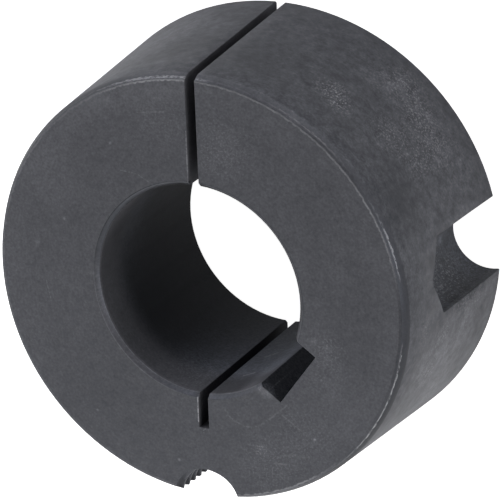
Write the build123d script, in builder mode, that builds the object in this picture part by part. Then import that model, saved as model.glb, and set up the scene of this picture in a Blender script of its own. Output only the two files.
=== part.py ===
from build123d import *
import os
from math import cos, radians, sin, tan

# Taper bush that clamps a pulley or sprocket on a shaft, size 1610.
# Lengths in mm, angles in degrees. The bush stands on its large end, z = 0, and
# the axis of the bore is Z. Angles about Z start at +X, and the split is at +Y.

# Turned body. The small end has a steep bevel that leads it into the hub, and
# the rim of the large end is only broken.
length = 25.4
large_end_diameter = 57.15
taper_half_angle = 4.0
lead_in_width = 0.5
lead_in_height = 1.0
rim_chamfer = 0.3

# Bore and the keyway cut along it
bore_diameter = 26.5
bore_chamfer = 0.5
keyway_width = 8.0
keyway_depth = 2.7
keyway_angle = -36.2

# Saw cuts: the split through the wall, and the relief slot across the bore from
# it. Both lie in one plane, a little off the axis of the bore.
saw_width = 1.3
saw_offset = 0.2
relief_depth = 4.35

# Half-holes in the tapered wall, all with their axes on one circle. Two plain
# blind ones take the clamping screws, and the threaded one takes a screw that
# jacks the bush out again. Its thread is 3/8 inch, and stands in from this wall.
hole_circle_diameter = 54.4
screw_hole_diameter = 9.55
screw_hole_depth = 15.3
drill_point_angle = 118.0
drill_web_diameter = 0.8
screw_hole_angle = 4.5
jack_hole_diameter = 9.525
jack_hole_angle = -89.0

bore_radius = bore_diameter / 2
large_end_radius = large_end_diameter / 2
lead_in_z = length - lead_in_height
lead_in_radius = large_end_radius - lead_in_z * tan(radians(taper_half_angle))
screw_hole_radius = screw_hole_diameter / 2
drill_web_radius = drill_web_diameter / 2
drill_point_length = (screw_hole_radius - drill_web_radius) / tan(radians(drill_point_angle / 2))


def half_hole_plane(angle):
    """Plane through the axis of a half-hole: local x is radial, local y is up."""
    outward = (cos(radians(angle)), sin(radians(angle)), 0)
    across = (sin(radians(angle)), -cos(radians(angle)), 0)
    center = [hole_circle_diameter / 2 * value for value in outward]
    return Plane(origin=center, x_dir=outward, z_dir=across)


with BuildPart() as taper_bush:
    # Body turned in one setting: taper, lead-in, bore and the bevels on its rims
    with BuildSketch(Plane.XZ) as turned_section:
        with BuildLine():
            Polyline(
                (bore_radius, 0),
                (large_end_radius, 0),
                (lead_in_radius, lead_in_z),
                (lead_in_radius - lead_in_width, length),
                (bore_radius, length),
                close=True,
            )
        make_face()
        bore_corners = turned_section.vertices().group_by(Axis.X)[0]
        large_end_corner = turned_section.vertices().sort_by(Axis.X)[-1]
        chamfer(bore_corners, bore_chamfer)
        chamfer(large_end_corner, rim_chamfer)
    revolve(axis=Axis.Z)

    # Keyway broached along the bore
    with BuildSketch():
        Rectangle(
            bore_radius + keyway_depth,
            keyway_width,
            rotation=keyway_angle,
            align=(Align.MIN, Align.CENTER),
        )
    extrude(amount=length, mode=Mode.SUBTRACT)

    # Split on the +Y side, and the relief slot across the bore from it
    with BuildSketch():
        with Locations((saw_offset, 0)):
            Rectangle(saw_width, large_end_radius, align=(Align.CENTER, Align.MIN))
            Rectangle(saw_width, bore_radius + relief_depth, align=(Align.CENTER, Align.MAX))
    extrude(amount=length, mode=Mode.SUBTRACT)

    # Two blind screw half-holes, drilled from the large end, one on each side
    for angle in (screw_hole_angle, 180 - screw_hole_angle):
        drill_plane = half_hole_plane(angle)
        with BuildSketch(drill_plane):
            with BuildLine():
                Polyline(
                    (0, 0),
                    (screw_hole_radius, 0),
                    (screw_hole_radius, screw_hole_depth),
                    (drill_web_radius, screw_hole_depth + drill_point_length),
                    (0, screw_hole_depth + drill_point_length),
                    close=True,
                )
            make_face()
        revolve(axis=Axis(drill_plane.origin, (0, 0, 1)), mode=Mode.SUBTRACT)

    # Half-hole for the jacking screw, right through beside the relief slot
    with BuildSketch():
        with Locations(half_hole_plane(jack_hole_angle).origin):
            Circle(jack_hole_diameter / 2)
    extrude(amount=length, mode=Mode.SUBTRACT)

taper_bush.part.label = "taper_bush"

os.makedirs("parts", exist_ok=True)
export_step(taper_bush.part, "parts/taper_bush.step")
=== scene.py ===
from math import cos, radians, sin, tan

import bpy
import numpy as np
from mathutils import Matrix, Vector


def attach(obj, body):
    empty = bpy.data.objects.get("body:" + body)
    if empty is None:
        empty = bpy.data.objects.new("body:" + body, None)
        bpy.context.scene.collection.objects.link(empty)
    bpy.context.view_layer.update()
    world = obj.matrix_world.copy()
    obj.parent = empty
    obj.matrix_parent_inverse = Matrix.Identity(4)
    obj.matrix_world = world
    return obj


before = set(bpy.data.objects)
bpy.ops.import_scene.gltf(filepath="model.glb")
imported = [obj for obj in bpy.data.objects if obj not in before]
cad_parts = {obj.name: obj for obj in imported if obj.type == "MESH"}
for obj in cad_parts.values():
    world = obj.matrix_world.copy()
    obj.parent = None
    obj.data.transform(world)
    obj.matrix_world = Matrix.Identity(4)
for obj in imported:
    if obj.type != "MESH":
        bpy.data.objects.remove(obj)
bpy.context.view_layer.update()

# Body of the bush. It is one casting of grey iron, turned, bored, drilled, broached and
# sawn, and then phosphated: a dark grey, semi-matte coat that wears bright along the rims.
# It keeps the solid's shape. Sizes are in mm, and angles in degrees from +X.
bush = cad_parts["taper_bush"]
LENGTH = 25.4
LARGE_END_RADIUS = 28.575
TAPER = tan(radians(4.0))
LEAD_IN_WIDTH, LEAD_IN_HEIGHT = 0.5, 1.0
RIM_CHAMFER = 0.3
BORE_RADIUS = 13.25
KEYWAY_ANGLE, KEYWAY_HALF_WIDTH, KEYWAY_FLOOR = -36.2, 4.0, 15.95
SAW_OFFSET, SAW_HALF_WIDTH = 0.2, 0.65
HOLE_CIRCLE_RADIUS = 27.2
SCREW_HOLE_ANGLE, SCREW_HOLE_RADIUS, SCREW_HOLE_TOP = 4.5, 4.775, 18.0
JACK_HOLE_ANGLE, JACK_HOLE_RADIUS = -89.0, 4.7625
WELD_DISTANCE = 0.002
EDGE_ROUNDING = 0.08
BUMP_DEPTH = 0.004


def linear(colour):
    """A hex sRGB colour such as "52545a" as linear red, green, blue and an alpha of 1."""
    srgb = np.array([int(colour[i:i + 2], 16) for i in (0, 2, 4)]) / 255
    value = np.where(srgb <= 0.04045, srgb / 12.92, ((srgb + 0.055) / 1.055) ** 2.4)
    return (*value.tolist(), 1.0)


def add(tree, kind, links=None, output=0, **settings):
    """Adds a node and returns one of its outputs. Settings are the node's own properties, and
    links give each of its sockets a value or the output that it follows."""
    node = tree.nodes.new(kind)
    for name, value in settings.items():
        setattr(node, name, value)
    for name, value in (links or {}).items():
        if isinstance(value, bpy.types.NodeSocket):
            tree.links.new(value, node.inputs[name])
        else:
            node.inputs[name].default_value = value
    return node.outputs[output]


def set_levels(ramp, levels):
    """Gives a ramp that runs once round the axis its grey level at each angle, in degrees from
    -180 to 180: a stop stands at the angle plus 180, over 360."""
    elements = ramp.node.color_ramp.elements
    for angle, level in levels:
        at = (angle + 180) / 360
        element = elements[0] if at == 0 else elements[-1] if at == 1 else elements.new(at)
        element.color = (level, level, level, 1)


# Phosphated grey iron, as machined. The coat is dark and semi-matte. Its crystals give a fine
# pale grain, the turning marks show faintly through it, and it is rubbed to pale specks and
# bright rims. Light and shade are also painted into it round the rims, in the bore and in the
# recesses.
phosphated_iron = bpy.data.materials.new("phosphated_iron")
phosphated_iron.use_nodes = True
tree = phosphated_iron.node_tree
shader = tree.nodes["Principled BSDF"]

# Where the point lies, in mm: its height, its reach from the bore's axis and its way out
# from it, how far it is under the taper, and how far it is along and across the keyway,
# from the plane of the saw cuts, and from the axes of the half-holes
place = add(tree, "ShaderNodeVectorMath", {
    0: add(tree, "ShaderNodeTexCoord", output="Object"), "Scale": 1000.0,
}, operation="SCALE")
axes = add(tree, "ShaderNodeSeparateXYZ", {0: place}).node.outputs
height = axes["Z"]
flat = add(tree, "ShaderNodeVectorMath", {0: place, 1: (1, 1, 0)}, operation="MULTIPLY")
reach = add(tree, "ShaderNodeVectorMath", {0: flat}, output="Value", operation="LENGTH")
way = add(tree, "ShaderNodeVectorMath", {0: flat}, operation="NORMALIZE")
under = add(tree, "ShaderNodeMath", {0: LARGE_END_RADIUS, 1: reach}, operation="SUBTRACT")
under = add(tree, "ShaderNodeMath", {0: height, 1: -TAPER, 2: under}, operation="MULTIPLY_ADD")
along_keyway, across_keyway = [
    add(tree, "ShaderNodeVectorMath", {
        0: flat, 1: (cos(turn), sin(turn), 0),
    }, output="Value", operation="DOT_PRODUCT")
    for turn in (radians(KEYWAY_ANGLE), radians(KEYWAY_ANGLE + 90))
]
across_keyway = add(tree, "ShaderNodeMath", {0: across_keyway}, operation="ABSOLUTE")
from_cut = add(tree, "ShaderNodeMath", {0: axes["X"], 1: SAW_OFFSET}, operation="SUBTRACT")
from_cut = add(tree, "ShaderNodeMath", {0: from_cut}, operation="ABSOLUTE")
either_side = add(tree, "ShaderNodeMath", {0: axes["X"]}, operation="ABSOLUTE")
either_side = add(tree, "ShaderNodeCombineXYZ", {"X": either_side, "Y": axes["Y"]})
from_screw_hole, from_jack_hole = [
    add(tree, "ShaderNodeVectorMath", {
        0: point, 1: (HOLE_CIRCLE_RADIUS * cos(turn), HOLE_CIRCLE_RADIUS * sin(turn), 0),
    }, output="Value", operation="DISTANCE")
    for point, turn in ((either_side, radians(SCREW_HOLE_ANGLE)), (flat, radians(JACK_HOLE_ANGLE)))
]

# Each region is 1 on its own surface and 0 elsewhere: a product of smooth steps, given as
# the value that the step reads, where it starts and where it is done, in mm
at_face = (height, LENGTH - 0.1, LENGTH - 0.02)
below_face = (height, LENGTH - 0.01, LENGTH - 0.06)
below_lead_in = (height, LENGTH - LEAD_IN_HEIGHT + 0.02, LENGTH - LEAD_IN_HEIGHT - 0.02)
in_bore = (reach, BORE_RADIUS + 0.15, BORE_RADIUS + 0.05)
regions = {}
for name, steps in {
    "face": [at_face],
    "face_rim": [at_face, (reach, 22.0, 25.0)],
    "face_edge": [at_face, (reach, 25.95, 26.12)],
    "bore_edge": [at_face, (reach, 14.0, 13.85)],
    "taper": [(under, 0.05, 0.02), below_lead_in],
    "lead_in": [below_face, (reach, 26.30, 26.36), (height, 23.95, 24.30)],
    "bore": [in_bore, (height, 21.5, 17.0)],
    "bore_front": [in_bore, (height, 17.0, 21.5), (height, 24.62, 24.50)],
    "bore_lip": [(reach, BORE_RADIUS + 0.06, BORE_RADIUS + 0.02), (height, 24.50, 24.62)],
    "bore_rim": [(reach, 13.86, 13.80), (reach, 13.22, 13.28), (height, 24.86, 24.94)],
    "keyway": [
        (height, LENGTH - 0.01, LENGTH - 0.1), (reach, BORE_RADIUS + 0.02, BORE_RADIUS + 0.1),
        (across_keyway, KEYWAY_HALF_WIDTH + 0.06, KEYWAY_HALF_WIDTH + 0.03),
        (along_keyway, KEYWAY_FLOOR + 0.06, KEYWAY_FLOOR + 0.03), (along_keyway, 12.50, 12.65),
    ],
    "screw_hole": [
        (from_screw_hole, SCREW_HOLE_RADIUS + 0.07, SCREW_HOLE_RADIUS + 0.03),
        (height, SCREW_HOLE_TOP + 0.2, SCREW_HOLE_TOP), (under, 0.03, 0.08),
    ],
    "saw_cuts": [below_face, (from_cut, SAW_HALF_WIDTH + 0.05, SAW_HALF_WIDTH + 0.02)],
    "jack_hole": [below_face, (from_jack_hole, JACK_HOLE_RADIUS + 0.07, JACK_HOLE_RADIUS + 0.02)],
}.items():
    region = 1.0
    for value, start, done in steps:
        step = add(tree, "ShaderNodeMapRange", {
            "Value": value, "From Min": start, "From Max": done,
        }, interpolation_type="SMOOTHSTEP")
        region = add(tree, "ShaderNodeMath", {0: region, 1: step}, operation="MULTIPLY")
    regions[name] = region

# Turning marks run round the bush, about 1.1 mm long, and 0.6 mm wide on the taper or 0.4 mm
# on the face. The grain is 0.3 mm wide. Both are coarser than the real marks and crystals,
# so that they show. The other patterns are rubbed specks 0.25 mm wide, clouds 1.1 mm wide, a
# mottle 3 mm wide, slow changes over 10 mm, and breaks 0.6 mm long in the lines round the rims.
marks = add(tree, "ShaderNodeVectorMath", {0: way, "Scale": 24.0}, operation="SCALE")
marks = add(tree, "ShaderNodeVectorMath", {0: place, 1: (0, 0, 1.7), 2: marks}, operation="MULTIPLY_ADD")
across_marks = add(tree, "ShaderNodeMath", {0: reach, 1: 2.6}, operation="MULTIPLY")
rings = add(tree, "ShaderNodeVectorMath", {0: way, "Scale": 38.0}, operation="SCALE")
rings = add(tree, "ShaderNodeVectorMath", {
    0: place, 1: (0.3, 0.3, 7.0), 2: rings,
}, operation="MULTIPLY_ADD")
turned = add(tree, "ShaderNodeTexNoise", {
    "Vector": marks, "W": across_marks, "Scale": 1.0, "Detail": 3.0, "Roughness": 0.65,
}, noise_dimensions="4D")
grain, rubbing, clouds, mottle, patches, breaks = [
    add(tree, "ShaderNodeTexNoise", {
        "Vector": point, "Scale": scale, "Detail": detail, "Roughness": 0.6,
    })
    for point, scale, detail in (
        (place, 3.2, 1.0), (place, 3.9, 1.0), (place, 0.9, 3.0), (place, 0.35, 2.0),
        (place, 0.1, 1.0), (rings, 1.0, 2.0),
    )
]
speck = add(tree, "ShaderNodeMapRange", {
    "Value": rubbing, "From Min": 0.50, "From Max": 0.70,
}, interpolation_type="SMOOTHSTEP")

# How strongly each pattern shows: everywhere, and what the surface's region adds. The
# specks are a little paler than the coat everywhere.
SPECK_PALER = 0.10
shade = 1.0
for pattern, everywhere, changes in (
    (turned, 0.55, {"taper": 0.45, "bore": -0.20, "screw_hole": -0.30}),
    (grain, 0.75, {"taper": 0.45, "bore": 0.9, "screw_hole": 2.6, "keyway": 2.0}),
    (clouds, 0.30, {"taper": 1.35, "bore": 0.5}),
    (mottle, 0.30, {"taper": 0.35}),
    (patches, 0.15, {}),
):
    strength = everywhere
    for name, change in changes.items():
        strength = add(tree, "ShaderNodeMath", {
            0: regions[name], 1: change, 2: strength,
        }, operation="MULTIPLY_ADD")
    pattern = add(tree, "ShaderNodeMath", {0: pattern, 1: 0.5}, operation="SUBTRACT")
    pattern = add(tree, "ShaderNodeMath", {0: pattern, 1: strength, 2: 1.0}, operation="MULTIPLY_ADD")
    shade = add(tree, "ShaderNodeMath", {0: shade, 1: pattern}, operation="MULTIPLY")
specked = add(tree, "ShaderNodeMath", {0: speck, 1: SPECK_PALER, 2: 1.0}, operation="MULTIPLY_ADD")
shade = add(tree, "ShaderNodeMath", {0: shade, 1: specked}, operation="MULTIPLY")

# Painted light and shade round each rim and round the bore: the coat is painted darker where
# those surfaces are shaded and paler where they catch the light, and at the bore's rim it is
# painted dark over a bevel's highlight. Each table gives the tone at each direction about the
# axis, in degrees, where 1 is the plain coat. A ramp holds levels from 0 to 1, so it is given
# the tone's share of the palest tone that it may hold.
PALEST_TONE = 4.0
turn = add(tree, "ShaderNodeMath", {0: axes["Y"], 1: axes["X"]}, operation="ARCTAN2")
turn = add(tree, "ShaderNodeMapRange", {"Value": turn, "From Min": -np.pi, "From Max": np.pi})
for name, painted_light_levels in (
    ("lead_in", (
        (-180, 0.6), (-120, 0.8), (-75, 0.8), (-67, 0.4), (-59, 0.4), (-50, 0.25), (-27, 0.26),
        (-10, 0.33), (4, 0.4), (13, 0.5), (21, 0.75), (29, 1.0), (37, 1.0), (45, 1.2), (61, 1.6),
        (69, 1.3), (101, 1.3), (109, 0.9), (117, 0.42), (180, 0.6),
    )),
    ("face_rim", (
        (-180, 1.14), (-150, 1.04), (-110, 1.04), (-85, 0.97), (-70, 0.90), (-50, 1.02), (-30, 1.12),
        (30, 1.07), (50, 1.02), (80, 1.14), (92, 1.36), (125, 1.24), (150, 1.08), (165, 1.14),
        (180, 1.14),
    )),
    ("face_edge", (
        (-180, 1.0), (-50, 1.0), (-35, 0.9), (-27, 0.85), (-19, 0.72), (-11, 0.62), (-3, 0.62),
        (5, 0.72), (12, 1.0), (180, 1.0),
    )),
    ("bore_edge", ((-180, 1.0), (-20, 1.0), (0, 0.65), (36, 0.75), (72, 0.75), (84, 1.0), (180, 1.0))),
    ("bore_rim", (
        (-180, 1.35), (-160, 2.0), (-140, 2.1), (-120, 2.1), (-108, 1.6), (-76, 1.1), (-50, 1.2),
        (-20, 0.75), (60, 0.6), (90, 0.1), (120, 0.1), (140, 0.05), (165, 0.5), (180, 1.35),
    )),
    ("bore_lip", (
        (-180, 1.1), (-160, 1.75), (-140, 1.7), (-120, 2.0), (-108, 2.0), (-76, 2.4), (-64, 2.9),
        (-56, 2.0), (-40, 1.0), (100, 1.0), (140, 1.0), (160, 1.1), (180, 1.1),
    )),
    ("bore_front", (
        (-180, 0.78), (-170, 0.93), (-155, 1.1), (-140, 1.20), (-125, 1.35), (-110, 1.7), (-98, 1.9),
        (-84, 1.4), (-76, 1.5), (-72, 1.4), (-64, 2.35), (-58, 1.7), (-50, 1.0), (90, 1.0), (130, 1.0),
        (145, 0.86), (160, 0.68), (175, 0.72), (180, 0.78),
    )),
    ("bore", (
        (-180, 0.42), (-170, 0.28), (-155, 0.15), (-140, 0.15), (-125, 0.50), (-110, 1.40), (-98, 1.95),
        (-84, 2.35), (-72, 2.45), (-64, 3.4), (-59, 3.2), (-56, 2.0), (-50, 1.0), (90, 1.0), (130, 1.1),
        (145, 1.25), (160, 0.95), (175, 0.55), (180, 0.42),
    )),
):
    ramp = add(tree, "ShaderNodeValToRGB", {0: turn})
    set_levels(ramp, [(angle, tone / PALEST_TONE) for angle, tone in painted_light_levels])
    tone = add(tree, "ShaderNodeMath", {0: ramp, 1: PALEST_TONE, 2: -1.0}, operation="MULTIPLY_ADD")
    tone = add(tree, "ShaderNodeMath", {0: tone, 1: regions[name], 2: 1.0}, operation="MULTIPLY_ADD")
    shade = add(tree, "ShaderNodeMath", {0: shade, 1: tone}, operation="MULTIPLY")

# Painted shade in the recesses: the keyway and the threaded half-hole are painted darker all over. The
# saw cuts are paler.
for name, change in (("keyway", -0.35), ("saw_cuts", 0.3), ("jack_hole", -0.45)):
    tone = add(tree, "ShaderNodeMath", {0: regions[name], 1: change, 2: 1.0}, operation="MULTIPLY_ADD")
    shade = add(tree, "ShaderNodeMath", {0: shade, 1: tone}, operation="MULTIPLY")

# Places painted paler or darker, partly a mottled, rubbed coat and partly painted light and
# shade, and places where handling has rubbed specks bare: centre and radius in mm, the change
# of tone, and how strong the specks are. A speck of strength 1 shows a little over a quarter of
# bare iron.
SPECK_BARE = 0.28
bare = 0.0
for centre, radius, paler, specks in (
    ((19.8, 19.8, 6.0), 7.0, 0.20, 0.3), ((24.8, 13.0, 6.5), 8.0, 0.28, 0.2),
    ((24.0, 12.5, 20.6), 7.0, -0.40, 0.0), ((26.2, -9.0, 12.5), 8.0, 0.42, 0.3),
    ((23.3, -15.3, 10.1), 7.0, 0.30, 0.4), ((-10.5, 26.0, 7.8), 8.0, 0.46, 0.3),
    ((-14.3, 23.6, 15.0), 7.0, 0.15, 0.5), ((-12.4, 23.6, 23.0), 4.0, 0.40, 0.3),
    ((3.4, 27.2, 17.0), 8.0, -0.28, 0.0), ((-5.0, 27.0, 16.0), 7.0, -0.30, 0.0),
    ((27.5, 6.0, 8.0), 4.0, 0.25, 0.0), ((26.9, 1.0, 21.0), 6.0, -0.12, 0.0),
    ((26.9, -2.6, 16.5), 3.0, -0.08, 0.0), ((25.8, -8.5, 18.5), 5.0, 0.28, 0.4),
    ((27.4, -5.5, 7.0), 5.0, 0.16, 0.3), ((7.5, 26.3, 18.0), 7.0, -0.10, 0.0),
    ((16.5, -8.0, 25.4), 5.5, 0.10, 0.2), ((16.6, 22.6, 7.8), 4.0, 0.29, 0.6),
    ((9.0, 25.6, 10.0), 5.0, -0.08, 0.0), ((-13.0, -15.0, 25.4), 16.0, -0.16, 0.0),
    ((21.0, 0.0, 25.4), 9.0, -0.12, 0.0), ((16.5, 11.7, 25.4), 6.0, -0.08, 0.0),
    ((-4.0, 21.2, 25.4), 5.5, 0.15, 0.2), ((-19.0, 12.0, 25.4), 7.0, 0.17, 0.0),
    ((3.9, 18.2, 25.4), 6.0, 0.18, 0.4), ((18.3, -12.5, 25.4), 5.5, 0.16, 0.0),
    ((14.3, -17.0, 25.4), 6.0, 0.10, 0.3), ((8.9, -21.1, 25.4), 6.0, 0.10, 0.45),
    ((20.0, -6.5, 25.4), 4.5, -0.08, 0.0), ((14.0, 23.6, 16.0), 3.4, 0.16, 2.1),
    ((15.6, 22.5, 17.2), 2.4, 0.05, 1.9), ((18.0, 21.6, 4.5), 4.0, 0.08, 1.2),
    ((20.2, 19.4, 6.5), 4.5, 0.02, 0.9), ((22.8, 16.3, 8.2), 6.0, 0.0, 1.2),
    ((20.6, 18.4, 14.3), 4.5, 0.0, 1.2), ((23.4, 14.9, 13.0), 4.0, 0.0, 1.0),
    ((27.0, -5.6, 14.6), 2.5, 0.04, 0.9), ((25.3, -10.6, 16.3), 3.5, 0.0, 0.9),
    ((26.9, -3.2, 20.0), 2.5, 0.0, 0.6), ((22.1, -17.1, 9.6), 3.0, 0.0, 0.8),
    ((26.2, -8.6, 9.0), 2.5, 0.10, 0.3), ((16.8, -5.0, 25.4), 3.5, 0.04, 0.4),
    ((15.0, -4.2, 25.4), 0.9, 0.25, 0.0), ((16.9, -4.8, 25.4), 0.8, 0.25, 0.0),
    ((16.7, -6.1, 25.4), 0.8, 0.25, 0.0), ((11.0, -14.0, 25.4), 3.5, -0.05, 0.15),
    ((24.3, -1.8, 6.5), 6.0, -0.12, 1.8), ((26.0, -2.6, 10.5), 3.5, 0.0, 1.4),
    ((25.5, -2.4, 1.0), 5.5, 0.75, 0.4), ((22.4, 1.9, 4.3), 1.0, 1.20, 0.0),
    ((27.6, -2.6, 4.5), 2.0, -0.40, 0.0), ((27.5, -2.6, 7.5), 2.1, -0.55, 0.0),
    ((27.2, -2.6, 10.8), 2.2, -0.55, 0.0), ((27.6, -2.6, 1.1), 0.5, 0.9, 0.0),
    ((-2.0, -13.0, 20.0), 7.0, 0.0, 0.8), ((7.8, -11.3, 25.4), 0.5, 0.5, 1.0),
    # The first place on the next line, at the keyway's corner, is a painted highlight
    ((8.8, -11.6, 24.9), 1.6, 0.8, 0.5), ((0.2, -17.8, 25.4), 0.8, -0.2, 0.8),
    ((7.6, -19.2, 25.4), 1.2, 0.2, 0.8), ((14.8, -16.8, 25.4), 0.30, 1.6, 0.0),
    ((-3.4, -22.4, 25.4), 0.30, 1.2, 0.0), ((-14.3, -17.5, 25.4), 0.25, 1.0, 0.0),
    ((-10.6, 17.4, 25.4), 0.30, 0.8, 0.0), ((-17.4, 7.0, 25.4), 0.30, 0.8, 0.0),
    ((-21.3, 3.4, 25.4), 0.60, 0.5, 0.0), ((15.9, -9.0, 25.4), 0.25, 0.9, 0.0),
    ((-9.3, 9.5, 25.0), 0.3, 1.2, 0.0),
):
    distance = add(tree, "ShaderNodeVectorMath", {
        0: place, 1: centre,
    }, output="Value", operation="DISTANCE")
    near = add(tree, "ShaderNodeMapRange", {
        "Value": distance, "From Min": radius, "From Max": 0.0,
    }, interpolation_type="SMOOTHSTEP")
    change = add(tree, "ShaderNodeMath", {0: near, 1: paler, 2: 1.0}, operation="MULTIPLY_ADD")
    shade = add(tree, "ShaderNodeMath", {0: shade, 1: change}, operation="MULTIPLY")
    rubbed = add(tree, "ShaderNodeMath", {0: near, 1: SPECK_BARE * specks}, operation="MULTIPLY")
    bare = add(tree, "ShaderNodeMath", {0: rubbed, 1: speck, 2: bare}, operation="MULTIPLY_ADD")

# Bare iron in broken lines round the rims. Each line has its region, the value that it
# follows, where it runs, its half width, how much of it is left in the breaks, and how bare
# it is at each direction about the axis. It wanders from side to side, and is at its barest
# within a short distance of its middle. Lengths are in mm.
LINE_WANDER, LINE_CORE = 0.4, 0.04
for name, value, middle, half_width, left, wear in (
    ("lead_in", height, 25.22, 0.15, 0.12, (
        (-180, 0.15), (-84, 0.15), (-75, 0.0), (-50, 0.0), (-42, 0.35), (-35, 1.0), (-27, 0.8),
        (-15, 0.7), (-10, 0.55), (-6, 0.0), (84, 0.0), (88, 1.0), (96, 1.0), (101, 0.8), (110, 0.4),
        (118, 0.1), (180, 0.15),
    )),
    ("lead_in", height, 25.03, 0.15, 0.15, (
        (-180, 0.1), (-90, 0.1), (-60, 0.0), (10, 0.0), (14, 0.7), (22, 0.75), (28, 0.2), (37, 0.0),
        (45, 0.1), (53, 0.45), (61, 0.35), (69, 0.05), (84, 0.15), (92, 0.6), (104, 0.7), (112, 0.6),
        (120, 0.1), (180, 0.1),
    )),
    ("face", reach, 26.20, 0.17, 0.6, (
        (-180, 0.15), (-120, 0.12), (-84, 0.2), (-75, 0.4), (-60, 0.55), (-52, 0.15), (-45, 0.0),
        (8, 0.0), (13, 0.18), (21, 0.38), (29, 0.4), (37, 0.27), (61, 0.22), (77, 0.25), (88, 0.3),
        (93, 0.55), (104, 0.5), (112, 0.3), (124, 0.1), (150, 0.2), (180, 0.15),
    )),
):
    line = add(tree, "ShaderNodeMath", {0: breaks, 1: LINE_WANDER, 2: value}, operation="MULTIPLY_ADD")
    line = add(tree, "ShaderNodeMath", {0: line, 1: middle + LINE_WANDER / 2}, operation="SUBTRACT")
    line = add(tree, "ShaderNodeMath", {0: line}, operation="ABSOLUTE")
    line = add(tree, "ShaderNodeMapRange", {
        "Value": line, "From Min": half_width, "From Max": LINE_CORE,
    }, interpolation_type="SMOOTHSTEP")
    line = add(tree, "ShaderNodeMath", {0: line, 1: regions[name]}, operation="MULTIPLY")
    ramp = add(tree, "ShaderNodeValToRGB", {0: turn})
    set_levels(ramp, wear)
    line = add(tree, "ShaderNodeMath", {0: line, 1: ramp}, operation="MULTIPLY")
    broken = add(tree, "ShaderNodeMapRange", {
        "Value": breaks, "From Min": 0.40, "From Max": 0.58, "To Min": left,
    }, interpolation_type="SMOOTHSTEP")
    bare = add(tree, "ShaderNodeMath", {0: line, 1: broken, 2: bare}, operation="MULTIPLY_ADD")

# Burrs, chips and scratches, ragged with the grain; the first is also a painted highlight: the
# ends of each in mm, its half width and how bare it is
ragged = add(tree, "ShaderNodeMapRange", {
    "Value": grain, "From Min": 0.40, "From Max": 0.62, "To Min": 0.35,
}, interpolation_type="SMOOTHSTEP")
for start, end, half_width, amount in (
    # A burr along the slot's left edge on the face, with a painted highlight
    ((-0.53, -13.45, 25.4), (-0.53, -16.9, 25.4), 0.13, 1.0),
    ((-0.53, 13.8, 25.4), (-0.53, 20.0, 25.4), 0.10, 0.45),
    ((2.48, -13.02, 12.6), (3.7, -12.72, 11.7), 0.42, 0.9),
    ((2.63, -12.98, 18.93), (3.6, -12.76, 18.2), 0.38, 0.8),
    ((8.90, -11.47, 24.2), (8.90, -11.47, 20.0), 0.16, 0.22),
    ((-9.4, 14.1, 25.4), (-7.2, 13.9, 25.4), 0.12, 0.14),
    ((-7.2, 13.9, 25.4), (-5.2, 12.8, 25.4), 0.12, 0.14),
    ((-6.9, 21.6, 25.4), (-3.1, 22.1, 25.4), 0.14, 0.16),
    ((10.6, -19.5, 25.4), (13.9, -19.2, 25.4), 0.35, 0.16),
    ((9.4, -20.8, 25.4), (11.0, -20.6, 25.4), 0.22, 0.20),
    ((2.9, -14.5, 25.4), (3.9, -15.8, 25.4), 0.20, 0.10),
    ((3.9, -15.8, 25.4), (5.6, -16.6, 25.4), 0.20, 0.13),
    ((5.6, -16.6, 25.4), (7.4, -16.3, 25.4), 0.20, 0.11),
    ((7.4, -16.3, 25.4), (9.4, -14.7, 25.4), 0.20, 0.13),
    ((9.4, -14.7, 25.4), (11.4, -12.9, 25.4), 0.20, 0.13),
    ((10.4, -14.1, 25.4), (13.4, -16.2, 25.4), 0.16, 0.13),
    ((-20.4, -1.4, 25.4), (-19.9, -3.9, 25.4), 0.14, 0.12),
):
    start, run = Vector(start), Vector(end) - Vector(start)
    offset = add(tree, "ShaderNodeVectorMath", {0: place, 1: start}, operation="SUBTRACT")
    share = add(tree, "ShaderNodeVectorMath", {
        0: offset, 1: run / run.length_squared,
    }, output="Value", operation="DOT_PRODUCT")
    share = add(tree, "ShaderNodeClamp", {0: share})
    nearest = add(tree, "ShaderNodeVectorMath", {0: run, "Scale": share}, operation="SCALE")
    distance = add(tree, "ShaderNodeVectorMath", {
        0: offset, 1: nearest,
    }, output="Value", operation="DISTANCE")
    scratch = add(tree, "ShaderNodeMapRange", {
        "Value": distance, "From Min": half_width, "From Max": 0.0, "To Max": amount,
    }, interpolation_type="SMOOTHSTEP")
    scratch = add(tree, "ShaderNodeMath", {0: scratch, 1: ragged}, operation="MULTIPLY")
    bare = add(tree, "ShaderNodeMath", {0: bare, 1: scratch}, operation="MAXIMUM")

# The coat is a little bluer in the bore, the keyway and the screw half-holes, a painted tint of
# their shade. Where it is worn through, the iron is pale grey.
shade_tint = 0.0
for name in ("bore", "keyway", "screw_hole"):
    shade_tint = add(tree, "ShaderNodeMath", {0: shade_tint, 1: regions[name]}, operation="ADD")
coat = add(tree, "ShaderNodeMix", {
    0: shade_tint, 6: linear("525255"), 7: linear("4f5156"),
}, output=2, data_type="RGBA")
coat = add(tree, "ShaderNodeVectorMath", {0: coat, "Scale": shade}, operation="SCALE")
colour = add(tree, "ShaderNodeMix", {
    0: bare, 6: coat, 7: linear("bcbcbe"),
}, output=2, data_type="RGBA")
tree.links.new(colour, shader.inputs["Base Color"])
roughness = add(tree, "ShaderNodeMapRange", {
    "Value": grain, "From Min": 0.3, "From Max": 0.7, "To Min": 0.37, "To Max": 0.47,
})
tree.links.new(roughness, shader.inputs["Roughness"])
relief = add(tree, "ShaderNodeMath", {0: grain, 1: turned}, operation="ADD")
normal = add(tree, "ShaderNodeBump", {"Height": relief, "Distance": BUMP_DEPTH / 1000})
tree.links.new(normal, shader.inputs["Normal"])
shader.inputs["Metallic"].default_value = 0.0
shader.inputs["Specular Tint"].default_value = linear("e6edff")
bush.data.materials.clear()
bush.data.materials.append(phosphated_iron)

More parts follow.
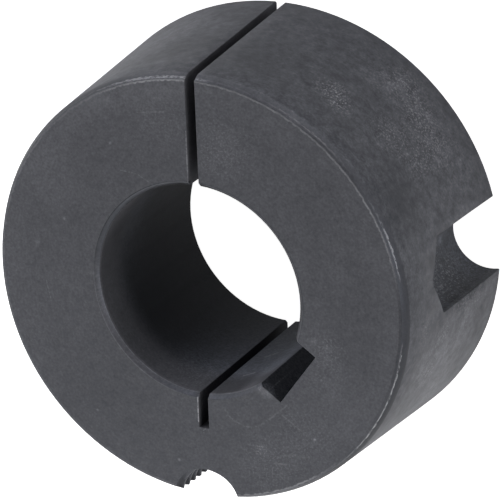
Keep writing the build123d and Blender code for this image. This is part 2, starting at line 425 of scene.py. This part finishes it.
# The solid's loose triangles are joined, and then its edges are rounded a little
weld = bush.modifiers.new("weld", "WELD")
weld.merge_threshold = WELD_DISTANCE / 1000
bevel = bush.modifiers.new("bevel", "BEVEL")
bevel.width = EDGE_ROUNDING / 1000
bevel.segments = 2
bevel.limit_method = "ANGLE"
bevel.angle_limit = radians(25)
bevel.harden_normals = True

# Thread of the jacking screw, 3/8 inch with 16 turns to the inch. It is tapped in the
# half-hole opposite the split, so its crests stand in from the plain wall of the solid,
# flat where the tapping drill left them, and it breaks out through the taper along two lips.
PITCH = 1.5875
ROOT_RADIUS = 4.755
THREAD_DEPTH = 1.0165
FLANK_SLOPE = 1.921
ROOT_ROUNDING = 0.218
ROOT_ROUNDED_LENGTH = 0.1934
TAPPING_RADIUS = 3.97
CREST_BLEND = 0.05
CREST_ANGLE = 20.0

# The thread is one closed shell. Its shoulders and ends lie just proud of the solid, and its
# back is buried in it. At both faces the back lies only a short way past the shoulders.
SHOULDER_RADIUS = 4.845
BURIED_RADIUS, BURIED_DEPTH = 4.95, 0.1
FACE_BURIED_RADIUS, FACE_BURIED_DEPTH = SHOULDER_RADIUS + 0.01, 0.02
PROUD = 0.002
TURN_COLUMNS, HEIGHT_ROWS = 68, 212
LIP_STEPS = 20
rim_heights = [0.0, RIM_CHAMFER, LENGTH - LEAD_IN_HEIGHT, LENGTH]
lead_in_radius = LARGE_END_RADIUS - TAPER * (LENGTH - LEAD_IN_HEIGHT)
rim_radii = [
    LARGE_END_RADIUS - RIM_CHAMFER,
    LARGE_END_RADIUS - TAPER * RIM_CHAMFER,
    lead_in_radius,
    lead_in_radius - LEAD_IN_WIDTH,
]


def thread_radius(angle, z):
    """Distance of the thread from the hole's axis. It falls from a rounded root along a straight
    flank. The crest is flat at the tapping drill's radius: where the flank is over that by some
    height, the thread is over it by half of that height plus half the square root of the sum of
    the squares of that height and the blend. The crest climbs one pitch in each turn
    anticlockwise, seen from above, so the thread is right-handed."""
    turns = (z - LENGTH) / PITCH - (angle - CREST_ANGLE) / 360
    from_root = PITCH / 2 - np.abs(turns - np.round(turns)) * PITCH
    flank = ROOT_RADIUS - THREAD_DEPTH / 2 + FLANK_SLOPE * (PITCH / 4 - from_root)
    arc = np.sqrt(np.clip(ROOT_ROUNDING ** 2 - from_root ** 2, 0, None))
    root = ROOT_RADIUS - ROOT_ROUNDING + arc
    over = np.where(from_root < ROOT_ROUNDED_LENGTH, root, flank) - TAPPING_RADIUS
    return TAPPING_RADIUS + (over + np.sqrt(over ** 2 + CREST_BLEND ** 2)) / 2


def lip_turn(radius, outside):
    """Turn about the hole's axis, from the direction out of the bush, at which a circle round that
    axis meets the outside of the bush: the cosine rule on the two axes and the lip."""
    cosine = (outside ** 2 - HOLE_CIRCLE_RADIUS ** 2 - radius ** 2) / (2 * HOLE_CIRCLE_RADIUS * radius)
    return np.degrees(np.arccos(cosine))


def thread_grid():
    """Points and quads of the thread's shell. Each row is a closed loop at one height: along the
    thread from the right lip to the left one, out to a shoulder level with the taper, and back
    behind the wall. The rows at both faces come back along the shoulder, level with the face.
    A lip is where the thread meets the taper, and its radius is found in steps, each of which
    goes half the way to the thread's radius at the lip's own angle."""
    z = np.unique(np.concatenate([
        np.linspace(0, LENGTH, HEIGHT_ROWS), rim_heights, [BURIED_DEPTH, LENGTH - BURIED_DEPTH],
    ]))
    outside = np.interp(z, rim_heights, rim_radii) + PROUD
    lips = np.full((2, len(z)), ROOT_RADIUS - THREAD_DEPTH / 2)
    for step in range(LIP_STEPS):
        turn = lip_turn(lips, outside)
        ends = JACK_HOLE_ANGLE + np.stack([turn[0], 360 - turn[1]])
        lips = 0.5 * (lips + thread_radius(ends, z))
    share = np.linspace(0, 1, TURN_COLUMNS)
    angle = ends[0][:, None] + share * (ends[1] - ends[0])[:, None]
    radius = thread_radius(angle, z[:, None])

    shoulder = lip_turn(SHOULDER_RADIUS, outside)[:, None]
    face_rows = (z == z[0]) | (z == z[-1])
    back_radius = np.where(face_rows, FACE_BURIED_RADIUS, BURIED_RADIUS)[:, None]
    back_outside = outside - np.where(face_rows, FACE_BURIED_DEPTH, BURIED_DEPTH)
    turn = lip_turn(back_radius[:, 0], back_outside)[:, None]
    back_angle = JACK_HOLE_ANGLE + turn + share[::-1] * (360 - 2 * turn)
    around = np.radians(np.concatenate([
        angle, JACK_HOLE_ANGLE + 360 - shoulder, back_angle, JACK_HOLE_ANGLE + shoulder,
    ], axis=1))
    out = np.concatenate([
        radius, np.full_like(shoulder, SHOULDER_RADIUS), np.broadcast_to(back_radius, back_angle.shape),
        np.full_like(shoulder, SHOULDER_RADIUS),
    ], axis=1)
    hole_turn = radians(JACK_HOLE_ANGLE)
    row_heights = z.copy()
    row_heights[0] -= PROUD
    row_heights[-1] += PROUD
    points = np.stack([
        HOLE_CIRCLE_RADIUS * cos(hole_turn) + out * np.cos(around),
        HOLE_CIRCLE_RADIUS * sin(hole_turn) + out * np.sin(around),
        np.broadcast_to(row_heights[:, None], out.shape),
    ], axis=-1)

    rows, columns = out.shape
    index = np.arange(rows * columns).reshape(rows, columns)
    across = np.roll(index, -1, axis=1)
    walls = np.stack([index[:-1], index[1:], across[1:], across[:-1]], axis=-1).reshape(-1, 4)
    front = np.arange(TURN_COLUMNS - 1)
    back = 2 * TURN_COLUMNS - front
    lid = np.stack([front, back, back - 1, front + 1], axis=-1)
    ears = np.array([[TURN_COLUMNS - 1, TURN_COLUMNS + 1, TURN_COLUMNS], [0, columns - 1, columns - 2]])
    faces = walls.tolist()
    faces += index[-1][lid].tolist() + index[0][lid[:, ::-1]].tolist()
    faces += index[-1][ears].tolist() + index[0][ears[:, ::-1]].tolist()
    return points.reshape(-1, 3), faces


points, faces = thread_grid()
mesh = bpy.data.meshes.new("jack_thread")
mesh.from_pydata((points / 1000).tolist(), [], faces)
mesh.shade_smooth()
mesh.set_sharp_from_angle(angle=radians(35))
mesh.materials.append(phosphated_iron)
thread = bpy.data.objects.new("jack_thread", mesh)
bpy.context.scene.collection.objects.link(thread)
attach(thread, "root")

# Camera. It looks down on the small end of the bush, from about 0.43 m away and 33
# degrees off the bush's axis, through a long lens. Its place is in metres.
CAMERA_PLACE = (0.173567, 0.149953, 0.360687)
CAMERA_RIGHT = (0.90124, -0.03559, -0.43185)
CAMERA_FORWARD = (-0.4149, -0.3583, -0.83634)
CAMERA_LENS = 247.09

right = Vector(CAMERA_RIGHT).normalized()
back = -Vector(CAMERA_FORWARD).normalized()
up = back.cross(right)
camera = bpy.data.objects.new("camera", bpy.data.cameras.new("camera"))
bpy.context.scene.collection.objects.link(camera)
camera.data.lens = CAMERA_LENS
camera.matrix_world = Matrix.Translation(CAMERA_PLACE) @ Matrix((right, up, back)).transposed().to_4x4()
bpy.context.scene.camera = camera

# Floor, a sheet of white paper 6 m wide. It throws light up on the bush as paper does, and
# glows to the camera, so that the ground of the picture is plain white with no shadow. The
# bush's gloss shows a small share of that glow.
FLOOR_HALF_WIDTH = 3.0
GLOSSY_SHARE = 0.13
floor_mesh = bpy.data.meshes.new("floor")
corners = [
    (x * FLOOR_HALF_WIDTH, y * FLOOR_HALF_WIDTH, 0) for x, y in ((-1, -1), (1, -1), (1, 1), (-1, 1))
]
floor_mesh.from_pydata(corners, [], [(0, 1, 2, 3)])
floor = bpy.data.objects.new("floor", floor_mesh)
bpy.context.scene.collection.objects.link(floor)
paper = bpy.data.materials.new("white_paper")
paper.use_nodes = True
floor.data.materials.append(paper)
tree = paper.node_tree
diffuse = tree.nodes["Principled BSDF"]
diffuse.inputs["Base Color"].default_value = linear("f2f2f2")
diffuse.inputs["Roughness"].default_value = 0.9
diffuse.inputs["Specular IOR Level"].default_value = 0.0
path = add(tree, "ShaderNodeLightPath").node.outputs
seen = add(tree, "ShaderNodeMath", {
    0: path["Is Glossy Ray"], 1: GLOSSY_SHARE, 2: path["Is Camera Ray"],
}, operation="MULTIPLY_ADD")
glow = add(tree, "ShaderNodeEmission", {"Color": (1, 1, 1, 1), "Strength": 1.0})
lift = add(tree, "ShaderNodeAddShader", {0: diffuse.outputs[0], 1: glow})
mixed = add(tree, "ShaderNodeMixShader", {0: seen, 1: diffuse.outputs[0], 2: lift})
tree.links.new(mixed, tree.nodes["Material Output"].inputs["Surface"])

# Studio. It is plain white to the camera. To the bush its walls are bright up to 14 degrees
# above the floor and fade to black at 49 degrees, and they are brightest towards -Y and -X.
EVEN_LEVEL = 0.13
BRIGHT_TO, BLACK_FROM = 0.25, 0.75
world = bpy.data.worlds.new("studio")
bpy.context.scene.world = world
world.use_nodes = True
tree = world.node_tree
backdrop = tree.nodes["Background"]
backdrop.inputs["Color"].default_value = (1, 1, 1, 1)
direction = add(tree, "ShaderNodeTexCoord", output="Generated")
direction = add(tree, "ShaderNodeSeparateXYZ", {0: direction}).node.outputs
band = add(tree, "ShaderNodeMapRange", {
    "Value": direction["Z"], "From Min": BRIGHT_TO, "From Max": BLACK_FROM, "To Min": 1.0, "To Max": 0.0,
}, interpolation_type="SMOOTHSTEP")
level = EVEN_LEVEL
for axis, amount in (("Y", -2.54), ("X", -1.69)):
    toward = add(tree, "ShaderNodeMath", {0: direction[axis], 1: amount}, operation="MULTIPLY")
    lobe = add(tree, "ShaderNodeMath", {0: toward, 1: 0.0}, operation="MAXIMUM")
    level = add(tree, "ShaderNodeMath", {0: lobe, 1: level}, operation="ADD")
ring = add(tree, "ShaderNodeMath", {0: band, 1: level}, operation="MULTIPLY")
path = add(tree, "ShaderNodeLightPath").node.outputs
strength = add(tree, "ShaderNodeMix", {0: path["Is Camera Ray"], 2: ring, 3: 1.0})
tree.links.new(strength, backdrop.inputs["Strength"])

# Softboxes, three square lamps behind white cloth, 0.7 m wide and 1.2 m from the bush, for
# the broad soft sheen on the taper and the face
SOFTBOX_WIDTH, SOFTBOX_DISTANCE = 0.7, 1.2


def softbox(name, azimuth, elevation, level, colour):
    """A lamp in a direction from the bush, in degrees round from +X and up from the floor. It
    lights a white surface that faces it to a level of white: its power in watts is that level
    times pi squared times the distance squared."""
    turn, rise = radians(azimuth), radians(elevation)
    away = Vector((np.cos(rise) * np.cos(turn), np.cos(rise) * np.sin(turn), np.sin(rise)))
    lamp = bpy.data.lights.new(name, "AREA")
    lamp.size = SOFTBOX_WIDTH
    lamp.color = linear(colour)[:3]
    lamp.energy = level * np.pi ** 2 * SOFTBOX_DISTANCE ** 2
    holder = bpy.data.objects.new(name, lamp)
    bpy.context.scene.collection.objects.link(holder)
    holder.location = away * SOFTBOX_DISTANCE
    holder.rotation_mode = "QUATERNION"
    holder.rotation_quaternion = away.to_track_quat("Z", "Y")


softbox("softbox_right", 0, 12, 0.32, "fafbff")
softbox("softbox_back", 120, 35, 0.225, "edf1ff")
softbox("softbox_front", 240, 35, 0.24, "ffffff")

# Colours are shown as they are, with no film curve
bpy.context.scene.view_settings.view_transform = "Standard"
